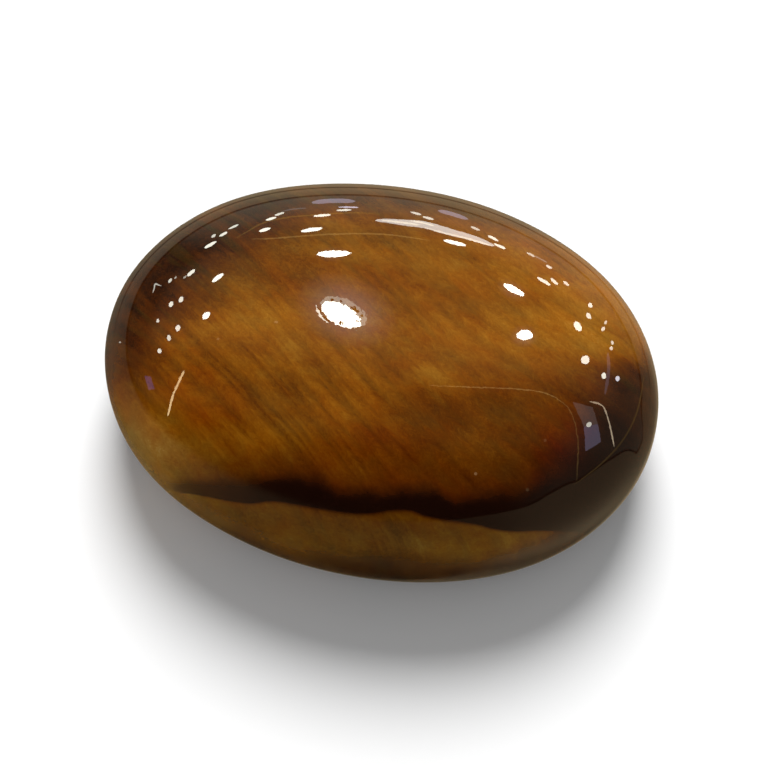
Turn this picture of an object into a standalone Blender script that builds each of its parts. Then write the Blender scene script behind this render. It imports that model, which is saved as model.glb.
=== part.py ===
"""Polished tiger's eye: one oval, high-domed cabochon lying on its flat back.

Frame: the origin is the centre of the flat back, +X runs along the length of the oval and +Z points
up through the dome. The stone is one closed solid: a profile from the middle of the flat back, round
the lower edge to the girdle (the widest line of the stone) and over the dome to its top is spun into
a round stone, which is then drawn out to the oval.
"""

import math

import bmesh
import bpy

# Driving dimensions, in metres: the calibrated 18 x 13 mm oval, cut thick.
LENGTH = 0.018
WIDTH = 0.013
GIRDLE_HEIGHT = 0.0026
DOME_RISE = 0.0040

# Powers of the superellipses. 2 is a true ellipse, and more is fuller at the shoulders.
OUTLINE_POWER = 2.09
DOME_POWER = 2.45
LOWER_EDGE_POWER = 2.0

# The flat back's size as a share of the outline at the girdle.
BACK_SHARE = 0.86

# Hand cutting leaves the outline a little uneven: waves round the oval, size in metres, phase in degrees.
HAND_CUT_WAVES = ((3, 0.000022, 134.0), (5, 0.000014, 26.0), (8, 0.000012, 35.0))

# Steps of the mesh: round the oval, up the lower edge and over the dome.
STEPS_ROUND = 96
LOWER_EDGE_STEPS = 8
DOME_STEPS = 22

# The last ring before the top of the dome, as a share of the outline, and the spin's seam is merged.
TOP_RING_SHARE = 0.05
MERGE_DISTANCE = 0.0000001

NODE_NAME = "tigers_eye_stone"
STONE_COLOUR = (0.19, 0.065, 0.008, 1.0)
STONE_ROUGHNESS = 0.06


def clear_scene():
    """Removes whatever the scene holds at the start."""
    for old in list(bpy.data.objects):
        bpy.data.objects.remove(old, do_unlink=True)


def rounded(value, power):
    """A sine or cosine raised to 2 / power with its sign kept, which turns a circle into a superellipse."""
    return math.copysign(abs(value) ** (2.0 / power), value)


def hand_cut(turn):
    """How far the outline stands out or in at this angle of the turn, in metres."""
    return sum(
        size * math.cos(count * turn + math.radians(phase)) for count, size, phase in HAND_CUT_WAVES
    )


def outline_point(turn):
    """The girdle's outline in plan at this angle of the turn."""
    across, along = rounded(math.sin(turn), OUTLINE_POWER), rounded(math.cos(turn), OUTLINE_POWER)
    wave = hand_cut(turn)
    return along * LENGTH / 2 + math.cos(turn) * wave, across * WIDTH / 2 + math.sin(turn) * wave


def lower_edge_profile():
    """(share of the outline, height) from the flat back's rim out and up to the girdle."""
    stations = []
    for step in range(LOWER_EDGE_STEPS + 1):
        lift = math.pi / 2 * step / LOWER_EDGE_STEPS
        share = BACK_SHARE + (1 - BACK_SHARE) * rounded(math.sin(lift), LOWER_EDGE_POWER)
        height = GIRDLE_HEIGHT * (1 - rounded(math.cos(lift), LOWER_EDGE_POWER))
        stations.append((share, height))
    return stations


def dome_profile():
    """(share of the outline, height) from just above the girdle to the small ring round the top."""
    stations = []
    last = math.acos(TOP_RING_SHARE ** (DOME_POWER / 2))
    for step in range(1, DOME_STEPS + 1):
        lift = last * step / DOME_STEPS
        share = rounded(math.cos(lift), DOME_POWER)
        height = GIRDLE_HEIGHT + DOME_RISE * rounded(math.sin(lift), DOME_POWER)
        stations.append((share, height))
    return stations


def spin_profile(mesh, stations):
    """Spins the profile, whose distance from the axis is the share of the outline, into a closed body."""
    points = [mesh.verts.new((share, 0, height)) for share, height in stations]
    edges = [mesh.edges.new(pair) for pair in zip(points, points[1:])]
    bmesh.ops.spin(
        mesh,
        geom=points + edges,
        axis=(0, 0, 1),
        cent=(0, 0, 0),
        angle=2 * math.pi,
        steps=STEPS_ROUND,
        use_merge=True,
    )
    bmesh.ops.remove_doubles(mesh, verts=mesh.verts, dist=MERGE_DISTANCE)
    bmesh.ops.recalc_face_normals(mesh, faces=mesh.faces)


def draw_out_to_oval(mesh):
    """Moves each point of the round body from its share of the circle to that share of the oval."""
    for vertex in mesh.verts:
        share = math.hypot(vertex.co.x, vertex.co.y)
        x, y = outline_point(math.atan2(vertex.co.y, vertex.co.x))
        vertex.co.x, vertex.co.y = x * share, y * share


def stone_material():
    """Golden brown, glassy polish."""
    material = bpy.data.materials.new("tigers_eye")
    material.use_nodes = True
    surface = material.node_tree.nodes["Principled BSDF"]
    surface.inputs["Base Color"].default_value = STONE_COLOUR
    surface.inputs["Roughness"].default_value = STONE_ROUGHNESS
    surface.inputs["Metallic"].default_value = 0.0
    return material


def build_stone():
    """The cabochon as one closed solid."""
    mesh = bmesh.new()
    back_centre, dome_top = (0, 0), (0, GIRDLE_HEIGHT + DOME_RISE)
    spin_profile(mesh, [back_centre, *lower_edge_profile(), *dome_profile(), dome_top])
    draw_out_to_oval(mesh)

    data = bpy.data.meshes.new(NODE_NAME)
    mesh.to_mesh(data)
    mesh.free()
    data.shade_smooth()
    data.materials.append(stone_material())
    stone = bpy.data.objects.new(NODE_NAME, data)
    bpy.context.scene.collection.objects.link(stone)
    return stone


def main():
    clear_scene()
    build_stone()


main()
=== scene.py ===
"""Polished tiger's eye cabochon: the looks of the stone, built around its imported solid.

Units are metres in the mesh and millimetres in the material. The row frame has its origin at the
centre of the stone's flat back, +X along the oval and +Z up through the dome. A turn round the stone
or the room is in degrees: 0 at the right end, 90 behind, -90 in front and 180 at the left end.
"""

from __future__ import annotations

import logging
import math
from dataclasses import dataclass, field
from enum import Enum
from typing import NamedTuple, Sequence

import bpy
from mathutils import Matrix, Vector


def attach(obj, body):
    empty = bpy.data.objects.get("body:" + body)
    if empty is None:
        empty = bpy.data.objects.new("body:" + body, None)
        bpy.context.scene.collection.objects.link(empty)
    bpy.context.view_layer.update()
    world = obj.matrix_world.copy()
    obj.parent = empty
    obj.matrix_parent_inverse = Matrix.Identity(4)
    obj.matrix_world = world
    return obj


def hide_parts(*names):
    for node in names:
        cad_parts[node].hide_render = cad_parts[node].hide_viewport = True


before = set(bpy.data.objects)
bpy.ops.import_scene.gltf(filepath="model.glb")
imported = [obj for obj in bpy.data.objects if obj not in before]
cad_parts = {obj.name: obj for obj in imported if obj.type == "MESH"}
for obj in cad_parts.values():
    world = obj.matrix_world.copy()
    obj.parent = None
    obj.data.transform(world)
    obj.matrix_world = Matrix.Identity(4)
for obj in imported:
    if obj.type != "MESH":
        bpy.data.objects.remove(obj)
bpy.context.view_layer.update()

LOG = logging.getLogger("tigers_eye")

MM = 0.001
BLACK = (0.0, 0.0, 0.0)
WHITE = (1.0, 1.0, 1.0)

Socket = bpy.types.NodeSocket
Value = float | Socket
Colour = tuple[float, float, float]
Point = tuple[float, float]
Curve = tuple[Point, ...]


def linear(red: int, green: int, blue: int) -> Colour:
    """Turns a display colour into the linear one that shaders take.

    Args:
        red: 0 to 255.
        green: 0 to 255.
        blue: 0 to 255.

    Returns:
        The linear colour, 0 to 1.
    """

    def one(part: int) -> float:
        """One channel, by the display curve."""
        share = part / 255
        return share / 12.92 if share <= 0.04045 else ((share + 0.055) / 1.055) ** 2.4

    return one(red), one(green), one(blue)


# ---------------------------------------------------------------- the stone's form


@dataclass(frozen=True)
class DomeForm:
    """The cabochon's surface as a formula, with the driving dimensions of its solid, in metres."""

    length: float = 0.018
    width: float = 0.013
    girdle_height: float = 0.0026
    dome_rise: float = 0.0040
    outline_power: float = 2.09
    dome_power: float = 2.45
    back_share: float = 0.86
    hand_cut_waves: tuple[tuple[int, float, float], ...] = (
        (3, 0.000022, 134.0),
        (5, 0.000014, 26.0),
        (8, 0.000012, 35.0),
    )
    lower_edge_latitude: float = 30.0
    slope_step: float = 0.0000009

    def outline_point(self, turn: float) -> Point:
        """The girdle's outline in plan.

        Args:
            turn: The angle round the oval, in radians.

        Returns:
            x and y, in metres.
        """
        power = 2 / self.outline_power
        wave = 0.0
        for count, size, phase in self.hand_cut_waves:
            wave += size * math.cos(count * turn + math.radians(phase))
        x, y = (
            math.copysign(abs(part) ** power, part) * side / 2 + part * wave
            for part, side in ((math.cos(turn), self.length), (math.sin(turn), self.width))
        )
        return x, y

    def profile_point(self, latitude: float) -> Point:
        """The profile from the middle of the flat back to the top of the dome.

        Args:
            latitude: -90 degrees in the middle of the back, 0 at the girdle, 90 at the top.

        Returns:
            The share of the outline and the height in metres.
        """
        if latitude >= 0:
            out, up = math.cos(math.radians(latitude)), math.sin(math.radians(latitude))
            reach = (abs(out) ** self.dome_power + up**self.dome_power) ** (-1 / self.dome_power)
            return reach * out, self.girdle_height + self.dome_rise * reach * up
        if latitude > -self.lower_edge_latitude:
            lift = math.pi / 2 * (1 + latitude / self.lower_edge_latitude)
            share = self.back_share + (1 - self.back_share) * math.sin(lift)
            return share, self.girdle_height * (1 - math.cos(lift))
        inward = (90 + latitude) / (90 - self.lower_edge_latitude)
        return self.back_share * inward, 0.0

    def placed(self, ball: Vector) -> Vector:
        """The stone's point that a point of the unit ball is drawn to.

        Args:
            ball: The point of the ball.

        Returns:
            The point on the stone, in metres.
        """
        flat = math.hypot(ball.x, ball.y)
        share, height = self.profile_point(math.degrees(math.atan2(ball.z, flat)))
        x, y = self.outline_point(math.atan2(ball.y, ball.x))
        return Vector((x * share, y * share, height))

    def depth(self, point: Vector) -> float:
        """How far inside or outside the stone a point is, in no unit.

        Args:
            point: Any point, in metres.

        Returns:
            0 on the surface, below 0 inside the stone and above 0 outside.
        """
        share = (
            (abs(point.x) * 2 / self.length) ** self.outline_power
            + (abs(point.y) * 2 / self.width) ** self.outline_power
        ) ** (1 / self.outline_power)
        if point.z >= self.girdle_height:
            rise = (point.z - self.girdle_height) / self.dome_rise
            return share**self.dome_power + rise**self.dome_power - 1
        drop = (self.girdle_height - point.z) / self.girdle_height
        return max(0.0, (share - self.back_share) / (1 - self.back_share)) ** 2 + drop**2 - 1

    def outward(self, point: Vector) -> Vector:
        """The unit vector away from the stone at a point on its surface."""
        steps = Matrix.Scale(self.slope_step, 3)
        return Vector(self.depth(point + step) - self.depth(point - step) for step in steps).normalized()


@dataclass
class Cabochon:
    """The polished stone, drawn from a cube of fine squares so that no pole shows in the polish.

    The finished mesh is drawn in by a hair, the share `snug`, to stay inside the box of its solid.
    """

    form: DomeForm = field(default_factory=DomeForm)
    squares_per_side: int = 96
    snug: float = 0.9997

    def build(self) -> bpy.types.Object:
        """Makes the finished mesh.

        Returns:
            The stone, with its place in its mesh.
        """
        bpy.ops.object.select_all(action="DESELECT")
        bpy.ops.mesh.primitive_cube_add(size=2)
        stone = bpy.context.active_object
        stone.name = stone.data.name = "polished_stone"
        bpy.ops.object.mode_set(mode="EDIT")
        bpy.ops.mesh.select_all(action="SELECT")
        bpy.ops.mesh.subdivide(number_cuts=self.squares_per_side - 1, smoothness=0)
        bpy.ops.object.mode_set(mode="OBJECT")
        self.spread(stone)
        self.round(stone)
        self.cut(stone)
        bpy.ops.object.shade_smooth()
        return stone

    def spread(self, stone: bpy.types.Object) -> None:
        """Spreads the cube's lines so that the squares come out even once it is round."""
        for vertex in stone.data.vertices:
            vertex.co = Vector(math.tan(part * math.pi / 4) for part in vertex.co)

    def round(self, stone: bpy.types.Object) -> None:
        """Rounds the cube into the unit ball.

        Args:
            stone: The cube, which is the active object and is changed.
        """
        ball = stone.modifiers.new("ball", "CAST")
        ball.cast_type = "SPHERE"
        ball.factor = 1.0
        ball.use_radius_as_size = False
        ball.size = 1.0
        bpy.ops.object.modifier_apply(modifier=ball.name)

    def cut(self, stone: bpy.types.Object) -> None:
        """Draws the ball's points out to the oval, domed form.

        Args:
            stone: The ball, which is changed.
        """
        for vertex in stone.data.vertices:
            place = self.form.placed(vertex.co)
            vertex.co = Vector((place.x * self.snug, place.y * self.snug, place.z))
        stone.data.update()


# ---------------------------------------------------------------- wiring of materials


@dataclass(frozen=True)
class Clouds:
    """A layer of cloudy noise: how fine it is along each axis, how rich, and how strong."""

    per_mm: tuple[float, float, float]
    detail: float = 2.0
    roughness: float = 0.5
    strength: float = 1.0


class Step(NamedTuple):
    """A smooth step: where it begins and ends, and the value on each side."""

    start: float
    end: float
    low: float = 0.0
    high: float = 1.0


SHARES = (0.0, 1.0)
LIFTS = (-40.0, 60.0)
LEVELS = (-40.0, 40.0)
REACHES = (0.0, 20.0)
FALLS = (0.0, 2.0)


class Wiring:
    """Adds nodes to one node tree and joins them."""

    def __init__(self, tree: bpy.types.NodeTree) -> None:
        """Empties the tree and starts on it."""
        self.tree = tree
        tree.nodes.clear()

    def add(self, kind: str, **settings: object) -> bpy.types.Node:
        """One node.

        Args:
            kind: The node's type name, without its ShaderNode prefix.
            **settings: Properties to set on it.

        Returns:
            The node.
        """
        prefix = "" if kind.startswith("Node") else "ShaderNode"
        node = self.tree.nodes.new(prefix + kind)
        for name, value in settings.items():
            setattr(node, name, value)
        return node

    def feed(self, socket: Socket, value: object) -> None:
        """Links a socket to an output, or sets its own value.

        Args:
            socket: The input.
            value: An output, or a number, vector or colour.
        """
        if isinstance(value, Socket):
            self.tree.links.new(value, socket)
        elif socket.type == "RGBA" and len(value) == 3:
            socket.default_value = (*value, 1.0)
        else:
            socket.default_value = value

    def filled(self, node: bpy.types.Node, values: Sequence[object] | dict) -> bpy.types.Node:
        """A node with its inputs fed.

        Args:
            node: The node.
            values: What its first inputs get, in order, or what each gets by its name or place.

        Returns:
            The same node.
        """
        named = values if isinstance(values, dict) else dict(enumerate(values))
        for place, value in named.items():
            self.feed(node.inputs[place], value)
        return node

    def shader(self, kind: str, inputs: dict[str, object]) -> Socket:
        """The output of a shader or texture that is fed by name."""
        return self.filled(self.add(kind), inputs).outputs[0]

    def show(self, shader: Socket, output: str = "OutputMaterial") -> None:
        """Puts a shader out as what is seen."""
        self.feed(self.add(output).inputs["Surface"], shader)

    def maths(self, operation: str, *values: Value) -> Socket:
        """The result of one sum on one to three values."""
        return self.filled(self.add("Math", operation=operation), values).outputs[0]

    def times(self, first: Value, second: Value) -> Socket:
        """The product of two values."""
        return self.maths("MULTIPLY", first, second)

    def minus(self, first: Value, second: Value) -> Socket:
        """The first value less the second."""
        return self.maths("SUBTRACT", first, second)

    def over(self, first: Value, second: Value) -> Socket:
        """The first value divided by the second."""
        return self.maths("DIVIDE", first, second)

    def times_plus(self, value: Value, factor: Value, base: Value) -> Socket:
        """A value times a factor, added to a base."""
        return self.maths("MULTIPLY_ADD", value, factor, base)

    def vector(self, x: Value, y: Value, z: Value) -> Socket:
        """Three values as one vector."""
        return self.filled(self.add("CombineXYZ"), (x, y, z)).outputs[0]

    def vector_maths(self, operation: str, first: object, second: object) -> Socket:
        """The vector result of one sum on two vectors."""
        return self.filled(self.add("VectorMath", operation=operation), (first, second)).outputs["Vector"]

    def split(self, vector: Socket) -> list[Socket]:
        """A vector's three values."""
        return list(self.filled(self.add("SeparateXYZ"), (vector,)).outputs)

    def clouds(self, place: Socket, layer: Clouds) -> Socket:
        """Cloudy noise, mostly between 0.2 and 0.8.

        Args:
            place: The position that it is read at, in millimetres.
            layer: How fine and how rich it is.

        Returns:
            The noise.
        """
        stretched = self.vector_maths("MULTIPLY", place, layer.per_mm)
        values = {"Vector": stretched, "Scale": 1.0, "Detail": layer.detail, "Roughness": layer.roughness}
        return self.shader("TexNoise", values)

    def drifted(self, value: Value, place: Socket, layer: Clouds) -> Socket:
        """A value moved up and down by a layer of clouds, read at a place in millimetres."""
        centred = self.minus(self.clouds(place, layer), 0.5)
        return self.times_plus(centred, layer.strength, value)

    def rise(self, value: Value, start: Value, end: Value, low: Value = 0.0, high: Value = 1.0) -> Socket:
        """A value turned into a smooth step, whose end may be below its start."""
        node = self.add("MapRange", interpolation_type="SMOOTHSTEP")
        return self.filled(node, (value, start, end, low, high)).outputs[0]

    def ramp(self, factor: Value, stops: Sequence[tuple[float, Colour]]) -> Socket:
        """A colour read from a ramp.

        Args:
            factor: Where it is read, 0 to 1.
            stops: Each stop's place and colour.

        Returns:
            The colour.
        """
        node = self.add("ValToRGB")
        ramp = node.color_ramp
        ramp.interpolation = "LINEAR"
        while len(ramp.elements) < len(stops):
            ramp.elements.new(1.0)
        for element, (place, colour) in zip(ramp.elements, stops):
            element.position = place
            element.color = (*colour, 1.0)
        return self.filled(node, (factor,)).outputs[0]

    def mix(self, factor: Value, first: object, second: object, blend: str = "MIX") -> Socket:
        """Two colours mixed, where the factor is the second one's share."""
        node = self.add("Mix", data_type="RGBA", blend_type=blend)
        return self.filled(node, {0: factor, 6: first, 7: second}).outputs[2]

    def tinted(self, strength: Value, tint: object) -> Socket:
        """A tint at some strength, as a colour."""
        return self.mix(1.0, self.vector(strength, strength, strength), tint, "MULTIPLY")

    def read(self, drawn: Curve, turn: Socket, span: Point = SHARES) -> Socket:
        """The value of a drawn curve.

        Args:
            drawn: The curve, as points of (turn in degrees, value).
            turn: Where it is read, from 0 at -180 degrees to 1 at 180 degrees.
            span: The lowest and highest value that it can hold.

        Returns:
            The value there.
        """
        low, high = span
        node = self.add("FloatCurve")
        line = node.mapping.curves[0]
        while len(line.points) < len(drawn):
            line.points.new(0.5, 0.5)
        for handle, (angle, value) in zip(line.points, drawn):
            handle.location = (angle / 360 + 0.5, (value - low) / (high - low))
            handle.handle_type = "AUTO_CLAMPED"
        node.mapping.update()
        self.feed(node.inputs["Value"], turn)
        return self.times_plus(node.outputs[0], high - low, low)

    def group(self, tree: bpy.types.NodeTree, **values: object) -> bpy.types.bpy_prop_collection:
        """The outputs of a group placed in this tree, fed by its inputs' names with _ for a space."""
        named = {name.replace("_", " ").capitalize(): value for name, value in values.items()}
        return self.filled(self.add("Group", node_tree=tree), named).outputs


def new_material(name: str) -> tuple[bpy.types.Material, Wiring]:
    """Makes a material.

    Args:
        name: The material's name.

    Returns:
        The material and its wiring, still empty.
    """
    material = bpy.data.materials.new(name)
    material.use_nodes = True
    return material, Wiring(material.node_tree)


VECTOR_INPUTS = ("Position", "Centre", "Half size")


def new_group(
    name: str, inputs: Sequence[str], outputs: Sequence[str]
) -> tuple[bpy.types.NodeTree, Wiring, bpy.types.bpy_prop_collection, bpy.types.bpy_prop_collection]:
    """Starts a shader node group.

    Args:
        name: The group's name.
        inputs: Its inputs' names. Those in VECTOR_INPUTS are vectors and the others are numbers.
        outputs: Its outputs' names, all of them numbers.

    Returns:
        The group, its wiring, the sockets that give its inputs and those that take its outputs.
    """
    tree = bpy.data.node_groups.new(name, "ShaderNodeTree")
    for side, names in (("INPUT", inputs), ("OUTPUT", outputs)):
        for socket_name in names:
            kind = "NodeSocketVector" if socket_name in VECTOR_INPUTS else "NodeSocketFloat"
            tree.interface.new_socket(socket_name, in_out=side, socket_type=kind)
    wires = Wiring(tree)
    return tree, wires, wires.add("NodeGroupInput").outputs, wires.add("NodeGroupOutput").inputs


# ---------------------------------------------------------------- groups of the stone's pattern


FIBRE_SWAY = Clouds((0.30, 0.45, 0.35), 1.0)
FIBRE_NOISE = Clouds((1.0, 1.0, 1.0), 2.0, 0.55)
FIBRE_CONTRAST = Step(0.28, 0.72)
VEIN_TAPER = Step(1.0, 0.4)


def fibre_field_group() -> bpy.types.NodeTree:
    """Makes the group that finds where a point lies among the fibres.

    Returns:
        A group that gives how far along the fibres and across them a point is, in millimetres.
    """
    tree, wires, given, out = new_group(
        "fibre_field", ("Position", "Lean", "Bend", "Waviness"), ("Along", "Across", "Height")
    )
    x, y, z = wires.split(given["Position"])
    leaning = wires.times_plus(x, given["Lean"], y)
    right_half = wires.maths("MAXIMUM", x, 0.0)
    bending = wires.times(wires.times(right_half, right_half), given["Bend"])
    sway = wires.minus(wires.clouds(given["Position"], FIBRE_SWAY), 0.5)
    wires.feed(out["Along"], x)
    wires.feed(out["Across"], wires.times_plus(sway, given["Waviness"], wires.minus(leaning, bending)))
    wires.feed(out["Height"], z)
    return tree


def streaks_group() -> bpy.types.NodeTree:
    """Makes the group for one layer of fibres.

    Returns:
        A group that gives noise drawn out along the fibres, from 0 to 1.
    """
    tree, wires, given, out = new_group(
        "fibre_streaks", ("Along", "Across", "Height", "Per mm across", "Per mm along"), ("Streak",)
    )
    place = wires.vector(
        wires.times(given["Along"], given["Per mm along"]),
        wires.times(given["Across"], given["Per mm across"]),
        wires.times(given["Height"], given["Per mm along"]),
    )
    wires.feed(out["Streak"], wires.rise(wires.clouds(place, FIBRE_NOISE), *FIBRE_CONTRAST))
    return tree


def patch_group() -> bpy.types.NodeTree:
    """Makes the group for a soft oval patch.

    Returns:
        A group that gives 1 in the middle of the patch and 0 outside it.
    """
    tree, wires, given, out = new_group(
        "soft_patch", ("Position", "Centre", "Half size", "Tilt", "Softness"), ("Mask",)
    )
    moved = wires.vector_maths("SUBTRACT", given["Position"], given["Centre"])
    back = {"Vector": moved, "Angle": wires.times(given["Tilt"], math.radians(-1))}
    turned = wires.filled(wires.add("VectorRotate", rotation_type="Z_AXIS"), back).outputs[0]
    scaled = wires.vector_maths("DIVIDE", turned, given["Half size"])
    length = wires.filled(wires.add("VectorMath", operation="LENGTH"), (scaled,)).outputs["Value"]
    outer = wires.maths("ADD", 1.0, given["Softness"])
    inner = wires.minus(1.0, given["Softness"])
    wires.feed(out["Mask"], wires.rise(length, outer, inner))
    return tree


def vein_group() -> bpy.types.NodeTree:
    """Makes the group for one long streak that lies along the fibres.

    Returns:
        A group that gives 1 in the middle of the streak and 0 outside it.
    """
    tree, wires, given, out = new_group(
        "long_vein", ("Along", "Across", "Place", "Half width", "Start", "End"), ("Mask",)
    )
    off = wires.maths("ABSOLUTE", wires.minus(given["Across"], given["Place"]))
    thin = wires.rise(wires.over(off, given["Half width"]), 1.0, 0.0)
    middle = wires.times(wires.maths("ADD", given["Start"], given["End"]), 0.5)
    half = wires.times(wires.minus(given["End"], given["Start"]), 0.5)
    away = wires.maths("ABSOLUTE", wires.minus(given["Along"], middle))
    wires.feed(out["Mask"], wires.times(thin, wires.rise(wires.over(away, half), *VEIN_TAPER)))
    return tree


def round_the_stone_group(form: DomeForm) -> bpy.types.NodeTree:
    """Makes the group that finds where a point lies round the stone and up its side.

    Args:
        form: The stone's form, for its size.

    Returns:
        A group whose Turn runs from 0 to 1 round the oval, starting at the left end, and whose Lift
        is 0 at the girdle and 90 at the top of the dome, in degrees.
    """
    tree, wires, given, out = new_group("round_the_stone", ("Position",), ("Turn", "Lift"))
    x, y, z = wires.split(given["Position"])
    along = wires.over(x, form.length / 2 / MM)
    across = wires.over(y, form.width / 2 / MM)
    turn = wires.over(wires.maths("ARCTAN2", across, along), 2 * math.pi)
    share = wires.maths("SQRT", wires.times_plus(across, across, wires.times(along, along)))
    above = wires.over(wires.minus(z, form.girdle_height / MM), form.dome_rise / MM)
    wires.feed(out["Turn"], wires.maths("ADD", turn, 0.5))
    wires.feed(out["Lift"], wires.times(wires.maths("ARCTAN2", above, share), math.degrees(1)))
    return tree


# ---------------------------------------------------------------- the stone's finish


@dataclass(frozen=True)
class Patch:
    """A place where a value is higher or lower, in millimetres from the middle of the back.

    The tone is what the patch adds: to the lightness, to the lean from red to khaki, or to the share
    of the fibres that shows.
    """

    name: str
    centre: Point
    half_size: Point
    tilt: float
    tone: float
    softness: float = 0.9


@dataclass(frozen=True)
class Vein:
    """A streak along the fibres: its place across them, half width, where it starts and ends."""

    place: float
    half_width: float
    start: float
    end: float
    tone: float


class Lines(Enum):
    """A layer of fibres: how many per millimetre across them and along them, and their strength."""

    BROAD = (0.9, 0.16, 0.08)
    MIDDLE = (2.6, 0.32, 0.12)
    FINE = (7.0, 0.8, 0.08)
    HAIR = (15.0, 2.2, 0.03)


@dataclass(frozen=True)
class TigersEye:
    """The polished, banded stone. Lifts are in degrees above the girdle, as the groups give them."""

    form: DomeForm

    lean: float = 0.78
    bend: float = 0.0325
    waviness: float = 0.25
    fibre_direction: tuple[float, float, float] = (0.79, -0.61, 0.0)
    feathering: float = 0.28
    fine_feathering: float = 0.5

    base_tone: float = 0.58
    tones: tuple[tuple[float, Colour], ...] = (
        (0.00, linear(14, 6, 3)),
        (0.14, linear(38, 15, 4)),
        (0.30, linear(72, 32, 4)),
        (0.46, linear(100, 52, 5)),
        (0.60, linear(127, 72, 8)),
        (0.74, linear(150, 93, 16)),
        (0.88, linear(176, 120, 36)),
        (1.00, linear(205, 152, 70)),
    )
    clouds: Clouds = Clouds((0.55, 0.8, 0.6), 3.0, 0.55, 0.19)
    bands: Clouds = Clouds((0.14, 0.95, 0.3), 2.0, 0.5, 0.18)
    mottling: Clouds = Clouds((3.2, 3.2, 3.2), 2.0, 0.55, 0.13)
    speckle: Clouds = Clouds((7.0, 7.0, 7.0), 1.0, 0.5, 0.13)
    grain: Clouds = Clouds((17.0, 17.0, 17.0), 1.0, 0.5, 0.15)
    patches: tuple[Patch, ...] = (
        Patch("gold lower left", (-5.4, -4.2), (2.4, 1.1), -38, 0.10),
        Patch("pale lower left rim", (-7.0, -4.0), (1.9, 0.8), -46, 0.19),
        Patch("brown left end", (-7.2, -2.6), (1.0, 0.75), -50, -0.20, 0.8),
        # The next two patches are painted sheen: the silky band of light along the dome's crest, put into
        # the colour.
        Patch("gold left band", (-4.3, -0.8), (1.9, 0.5), 18, 0.05),
        Patch("gold middle band", (1.9, -0.2), (2.6, 0.9), 4, 0.05),
        Patch("gold lobe", (0.3, -2.1), (1.0, 1.0), -20, 0.05),
        Patch("brown foot of the lobe", (0.9, -4.1), (1.4, 0.6), 0, -0.08),
        # Painted sheen: the silky band of light on the right of the dome, put into the colour.
        Patch("gold right band", (5.8, 2.0), (2.8, 1.4), 24, 0.14),
        Patch("brown upper middle", (-1.2, 1.5), (3.2, 0.6), -4, -0.06),
        Patch("red hollow", (4.0, -2.75), (2.9, 1.4), 6, -0.14),
        Patch("brown lower middle", (-2.6, -3.0), (1.3, 0.7), -30, -0.06),
        Patch("brown under the seam", (-3.2, -5.9), (1.1, 0.4), -10, -0.07),
        Patch("brown under the seam's middle", (1.4, -5.95), (0.9, 0.35), 0, -0.10),
        Patch("gold left of the highlight", (-3.1, -0.6), (0.9, 0.4), 15, 0.06),
        Patch("gold in the left stripes", (-2.9, -1.95), (0.9, 0.4), 15, 0.05),
        Patch("brown by the window", (5.5, -1.4), (0.8, 0.55), 15, -0.09),
        Patch("brown right end of the band", (6.1, 2.5), (0.6, 0.4), 20, -0.05),
        Patch("brown behind", (-0.2, 3.3), (2.2, 0.45), 14, -0.07),
        Patch("brown in the right band", (4.4, 1.75), (2.0, 0.4), 23, -0.07),
        Patch("brown beside the highlight", (-3.9, 1.05), (1.3, 0.55), 8, -0.08),
        Patch("gold right of the lobe", (2.2, -1.65), (1.3, 0.45), 10, 0.11),
        Patch("brown streak over the lobe", (0.7, -1.65), (0.9, 0.4), -30, -0.11),
        Patch("brown right of the lobe", (2.2, -2.9), (0.9, 0.55), -10, -0.09),
        Patch("brown left of the band", (-5.5, -0.2), (0.6, 0.5), 0, -0.09),
        Patch("brown left", (-4.9, -3.4), (1.4, 0.7), -30, -0.06),
        Patch("brown right of the middle", (4.3, -0.8), (1.3, 0.6), 10, -0.05),
        Patch("olive fleck", (-3.0, -4.15), (0.45, 0.4), -30, 0.10),
        Patch("olive fleck beside it", (-2.35, -4.15), (0.35, 0.35), -30, 0.05),
    )
    veins: tuple[Vein, ...] = (
        Vein(-5.88, 0.16, -6.6, -0.8, -0.09),
        Vein(-6.14, 0.10, -5.6, -3.2, -0.06),
        Vein(-5.25, 0.32, -5.8, -1.2, 0.04),
        Vein(-4.78, 0.18, -5.0, -1.4, -0.08),
        Vein(-4.42, 0.14, -0.8, 0.9, -0.06),
        Vein(-3.34, 0.12, -0.2, 1.6, -0.07),
        Vein(-2.88, 0.10, 0.2, 2.2, -0.06),
        Vein(-2.20, 0.12, -1.6, 0.9, -0.07),
        Vein(-7.62, 0.10, -5.4, -3.2, -0.05),
        Vein(-8.00, 0.10, -5.4, -3.4, 0.05),
        Vein(-4.02, 0.10, -4.8, -2.2, 0.04),
        Vein(-3.05, 0.16, -0.8, 0.5, 0.05),
        Vein(-2.60, 0.12, -0.9, 0.6, 0.04),
    )
    calm_share: float = 0.40
    striped: tuple[Patch, ...] = (
        Patch("striped lower left", (-2.8, -2.9), (3.4, 1.9), -14, 0.51, 0.6),
        Patch("striped right end", (5.2, 0.6), (2.4, 1.8), 10, 0.24, 0.8),
    )

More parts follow.
